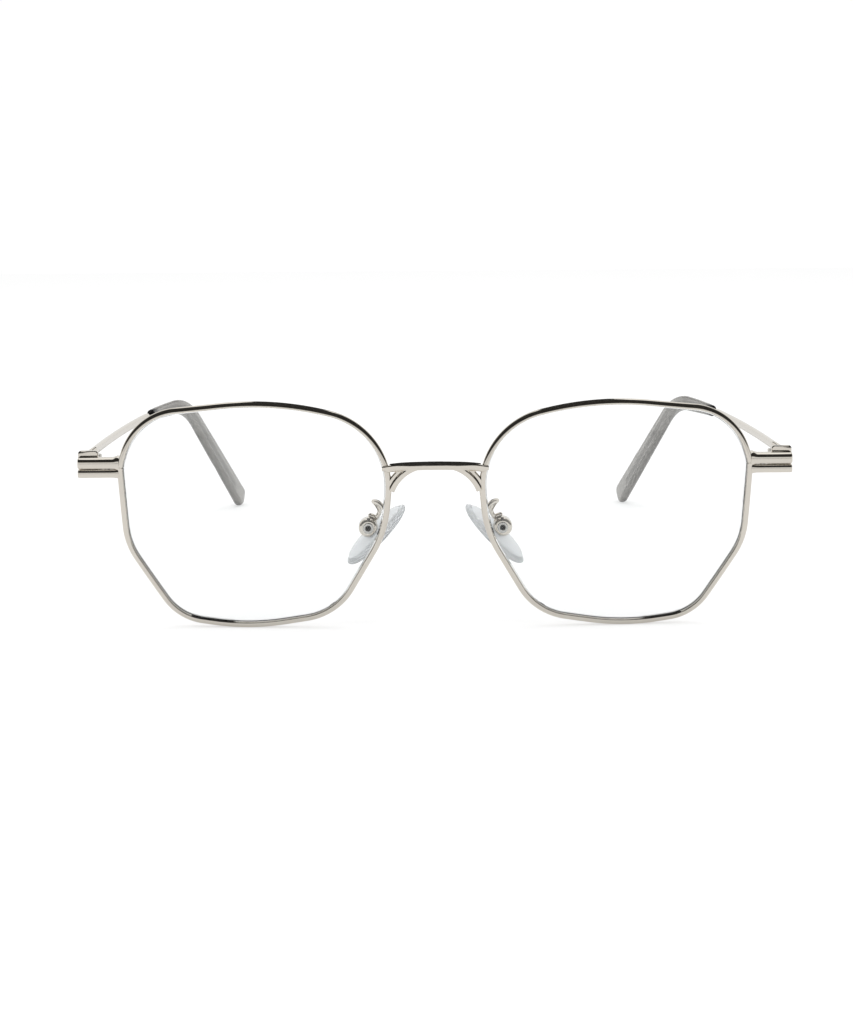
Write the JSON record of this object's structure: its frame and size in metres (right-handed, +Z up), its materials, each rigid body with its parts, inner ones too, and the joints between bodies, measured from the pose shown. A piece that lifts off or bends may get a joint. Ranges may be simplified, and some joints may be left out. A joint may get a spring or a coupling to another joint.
{
  "type": "eyeglasses",
  "caption": "Metal eyeglasses with rounded six-sided eye wires, adjustable nose pads and folding temples with sleeved tips.",
  "frame": {"origin": "under the middle of the glasses, on the surface that they stand on with the temples open", "axes": "+X to the right as seen from the front, +Y back along the temples to the ears, +Z up"},
  "size_m": [0.1394, 0.1455, 0.0453],
  "materials": {
    "polished_metal": "polished, silver with a slight warm tone",
    "hinge_metal": "fine ground",
    "screw_steel": "turned",
    "clear_lens": "clear, polished",
    "smoke_sleeve": "translucent smoke grey, satin",
    "pad_silicone": "clear soft silicone"
  },
  "bodies": {
    "front": {"left_rim": "polished_metal", "right_rim": "polished_metal", "left_lens": "clear_lens", "right_lens": "clear_lens", "bridge": "polished_metal", "left_end_piece": "polished_metal", "right_end_piece": "polished_metal", "left_lock_bar": "polished_metal", "right_lock_bar": "polished_metal", "left_rim_screw": "screw_steel", "right_rim_screw": "screw_steel", "left_front_hinge": "hinge_metal", "right_front_hinge": "hinge_metal", "left_hinge_screw": "screw_steel", "right_hinge_screw": "screw_steel", "left_pad_arm": "polished_metal", "right_pad_arm": "polished_metal", "left_pad_box": "polished_metal", "right_pad_box": "polished_metal", "left_pad_screw": "screw_steel", "right_pad_screw": "screw_steel"},
    "left_arm": {"left_temple": "polished_metal", "left_temple_hinge": "hinge_metal", "left_temple_tip": "smoke_sleeve"},
    "right_arm": {"right_temple": "polished_metal", "right_temple_hinge": "hinge_metal", "right_temple_tip": "smoke_sleeve"},
    "left_pad": {"left_nose_pad": "pad_silicone", "left_pad_lug": "hinge_metal"},
    "right_pad": {"right_nose_pad": "pad_silicone", "right_pad_lug": "hinge_metal"}
  },
  "joints": [
    {"name": "left_temple_fold", "type": "hinge", "parent": "front", "child": "left_arm", "pos_m": [-0.06685, -0.06253, 0.03208], "axis": [0, 0, -1], "range_deg": [0, 84]},
    {"name": "right_temple_fold", "type": "hinge", "parent": "front", "child": "right_arm", "pos_m": [0.06685, -0.06253, 0.03208], "axis": [0, 0, 1], "range_deg": [0, 80]},
    {"name": "left_pad_rock", "type": "hinge", "parent": "front", "child": "left_pad", "pos_m": [-0.0133, -0.06405, 0.01923], "axis": [0, -1, 0], "range_deg": [-10, 10]},
    {"name": "right_pad_rock", "type": "hinge", "parent": "front", "child": "right_pad", "pos_m": [0.0133, -0.06405, 0.01923], "axis": [0, 1, 0], "range_deg": [-10, 10]}
  ]
}
